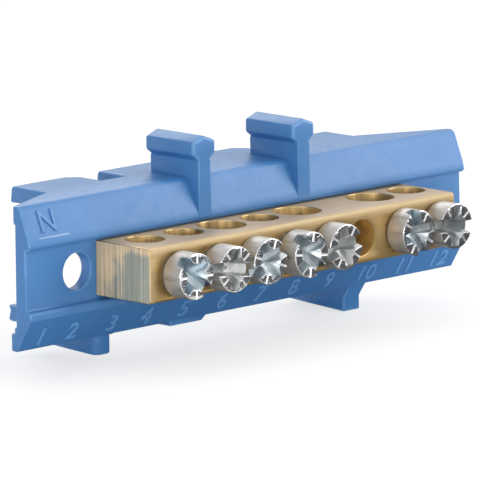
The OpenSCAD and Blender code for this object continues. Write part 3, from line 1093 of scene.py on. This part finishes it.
class TERMINAL_OT_screws(bpy.types.Operator):
    """Make one clamp screw and copy it to its seven places"""
    bl_idname = "terminal_block.screws"
    bl_label = "Clamp screws"

    def execute(self, context):
        look = context.scene.screw_look
        first = join(combined_head(look), [threaded_shank(look)])
        smooth(first, HEAD_SHARP)
        stand = Matrix.Rotation(math.radians(90.0), 4, "X")
        for i, node in enumerate(SCREW_NODES):
            low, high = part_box(node)
            screw = first.copy()
            screw.data = first.data.copy()
            rename(screw, "zinc_screw_%d" % (i + 1))
            context.scene.collection.objects.link(screw)
            at = Vector(((low.x + high.x) / 2, high.y, (low.z + high.z) / 2))
            turn = Matrix.Rotation(math.radians(SCREW_TURN[i]), 4, "Z")
            screw.matrix_world = Matrix.Translation(at) @ stand @ turn
            settle(screw)
            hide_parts(node)
            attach(screw, "screw_%d" % (i + 1))
        remove(first)
        return {"FINISHED"}


# Stage

# Each lamp's name, place, width and height in metres; its power is in the stage's look
LAMPS = (
    ("key", (0.70, -0.60, 0.42), 0.8, 0.8),
    ("fill", (-0.80, -0.85, 0.22), 2.4, 0.5),
    ("back", (0.47, 0.72, 0.62), 0.6, 0.45),
    ("side", (0.72, 0.04, 0.72), 0.6, 0.6),
    ("low", (-0.85, -0.45, 0.08), 0.7, 0.12),
    ("top", (-0.10, 0.10, 1.0), 0.8, 0.8),
)
# The floor, the card that only reflections show with its sheet under the part, and the camera
FLOOR_SIZE = 8.0
FLOOR_GLOW = 1.12
CARD_AT = (28.7 * MM, -42.0 * MM)
CARD_WIDTH = 62.0 * MM
CARD_TOP = 4.0 * MM
CARD_FOLD = 20.0 * MM
CARD_LIFT = 0.01 * MM
UNDER_AT = (7.5 * MM, -7.0 * MM)
UNDER_SIZE = (105.0 * MM, 30.0 * MM)
SENSOR_WIDTH = 36.0
CLIP_NEAR, CLIP_FAR = 0.01, 50.0


def soft_lamp(name, at, watts, width, height):
    """A rectangular lamp that looks at the part."""
    lamp = fresh(bpy.ops.object.light_add, type="AREA", location=at)
    lamp.name = name
    lamp.data.shape = "RECTANGLE"
    lamp.data.size = width
    lamp.data.size_y = height
    lamp.data.energy = watts
    lamp.rotation_euler = (-Vector(at)).to_track_quat("-Z", "Y").to_euler()
    lamp.visible_camera = False


def floor_finish(tone, white):
    """Pale matt floor that is seen as white, with a light shadow of the part still on it."""
    material = bpy.data.materials.new("pale studio floor")
    n = Nodes(material)
    out = n.node("ShaderNodeOutputMaterial")
    matt = n.node("ShaderNodeBsdfDiffuse", {"Color": tuple(tone) + (1.0,)})
    glow = n.node("ShaderNodeEmission", {"Strength": FLOOR_GLOW})
    part = n.node("ShaderNodeMath", {1: white})
    part.operation = "MULTIPLY"
    n.link(n.seen_rays(), part.inputs[0])
    both = n.node("ShaderNodeMixShader")
    n.link(part.outputs["Value"], both.inputs["Fac"])
    n.link(matt.outputs["BSDF"], both.inputs[1])
    n.link(glow.outputs["Emission"], both.inputs[2])
    n.link(both.outputs["Shader"], out.inputs["Surface"])
    return material


def sheet(width, height, at, turn):
    """A flat sheet with its place applied."""
    obj = fresh(bpy.ops.mesh.primitive_plane_add, size=1.0)
    obj.scale = (width, height, 1.0)
    obj.rotation_euler = turn
    obj.location = at
    settle(obj)
    return obj


def dark_card(tone, floor_z):
    """A folded card seen only in reflections, so that screw faces and the lower bevel read dark."""
    across = math.radians(45.0)
    upright = sheet(CARD_WIDTH, CARD_TOP - floor_z, (CARD_AT[0], CARD_AT[1], (CARD_TOP + floor_z) / 2),
                    (math.radians(90.0), 0.0, across))
    step = Vector((-math.sin(across), math.cos(across), 0.0)) * CARD_FOLD / 2
    fold = Vector((CARD_AT[0], CARD_AT[1], floor_z + CARD_LIFT))
    flap = sheet(CARD_WIDTH, CARD_FOLD, fold + step, (0.0, 0.0, across))
    under = sheet(UNDER_SIZE[0], UNDER_SIZE[1], (UNDER_AT[0], UNDER_AT[1], floor_z + 2 * CARD_LIFT),
                  (0.0, 0.0, 0.0))
    card = join(upright, [flap, under])
    card.name = "reflection_card"
    card.visible_camera = False
    card.visible_diffuse = False
    card.visible_shadow = False
    card.visible_transmission = False
    finish = Finish("dark card")
    finish.set("Base Color", tuple(tone) + (1.0,)).set("Roughness", 0.9)
    give(card, finish.material)


def room_light(scene, ambient):
    """White room for what the camera and glossy surfaces see, and a plain level of soft light."""
    scene.world = bpy.data.worlds.new("studio room")
    n = Nodes(scene.world)
    out = n.node("ShaderNodeOutputWorld")
    back = n.node("ShaderNodeBackground")
    level = n.node("ShaderNodeMapRange", {"To Min": ambient, "To Max": 1.0})
    n.link(n.seen_rays(), level.inputs["Value"])
    n.link(level.outputs["Result"], back.inputs["Strength"])
    n.link(back.outputs["Background"], out.inputs["Surface"])


def photo_camera(look):
    """The camera at the photograph's viewing angle."""
    a, e = look.azimuth, look.elevation
    back = Vector((math.sin(a) * math.cos(e), -math.cos(a) * math.cos(e), math.sin(e)))
    side = Vector((math.cos(a), math.sin(a), 0.0))
    up = back.cross(side)
    side, up = (side * math.cos(look.roll) + up * math.sin(look.roll),
                up * math.cos(look.roll) - side * math.sin(look.roll))
    camera = fresh(bpy.ops.object.camera_add)
    camera.name = "photo_camera"
    turn = Matrix((side, up, back)).transposed().to_4x4()
    camera.matrix_world = Matrix.Translation(Vector(look.aim) + back * look.distance) @ turn
    camera.data.sensor_width = SENSOR_WIDTH
    camera.data.lens = look.lens
    camera.data.clip_start = CLIP_NEAR
    camera.data.clip_end = CLIP_FAR
    return camera


class TERMINAL_OT_stage(bpy.types.Operator):
    """Make the pale floor, the dark card, the soft lamps and the camera"""
    bl_idname = "terminal_block.stage"
    bl_label = "Stage"

    def execute(self, context):
        scene = context.scene
        look = scene.stage_look
        floor = fresh(bpy.ops.mesh.primitive_plane_add, size=FLOOR_SIZE,
                      location=(0.0, 0.0, CAD_LOW.z - look.floor_drop))
        floor.name = "studio_floor"
        give(floor, floor_finish(look.floor, look.floor_white))
        dark_card(look.card, CAD_LOW.z)
        for name, at, width, height in LAMPS:
            soft_lamp(name + " lamp", at, getattr(look, name), width, height)
        room_light(scene, look.ambient)
        scene.camera = photo_camera(look)
        scene.view_settings.view_transform = "Standard"
        return {"FINISHED"}


class TERMINAL_PT_parts(bpy.types.Panel):
    """Sidebar list of the part's pieces"""
    bl_label = "Terminal block"
    bl_idname = "TERMINAL_PT_parts"
    bl_space_type = "VIEW_3D"
    bl_region_type = "UI"
    bl_category = "Terminal block"

    def draw(self, context):
        for step in STEPS:
            self.layout.operator(step.bl_idname)


STEPS = (TERMINAL_OT_carrier, TERMINAL_OT_marks, TERMINAL_OT_bar, TERMINAL_OT_screws, TERMINAL_OT_stage)
LOOKS = {"carrier_look": CarrierLook, "mark_look": MarkLook, "bar_look": BarLook,
         "screw_look": ScrewLook, "stage_look": StageLook}


def register():
    """Register the looks, the operators and the panel."""
    for name, group in LOOKS.items():
        bpy.utils.register_class(group)
        setattr(bpy.types.Scene, name, bpy.props.PointerProperty(type=group))
    for each in STEPS + (TERMINAL_PT_parts,):
        bpy.utils.register_class(each)


def unregister():
    """Take everything that register added away again."""
    for each in reversed(STEPS + (TERMINAL_PT_parts,)):
        bpy.utils.unregister_class(each)
    for name, group in LOOKS.items():
        delattr(bpy.types.Scene, name)
        bpy.utils.unregister_class(group)


def main():
    """Make every piece and the stage."""
    register()
    bpy.ops.terminal_block.carrier()
    bpy.ops.terminal_block.marks()
    bpy.ops.terminal_block.bar()
    bpy.ops.terminal_block.screws()
    bpy.ops.terminal_block.stage()


if __name__ == "__main__":
    main()
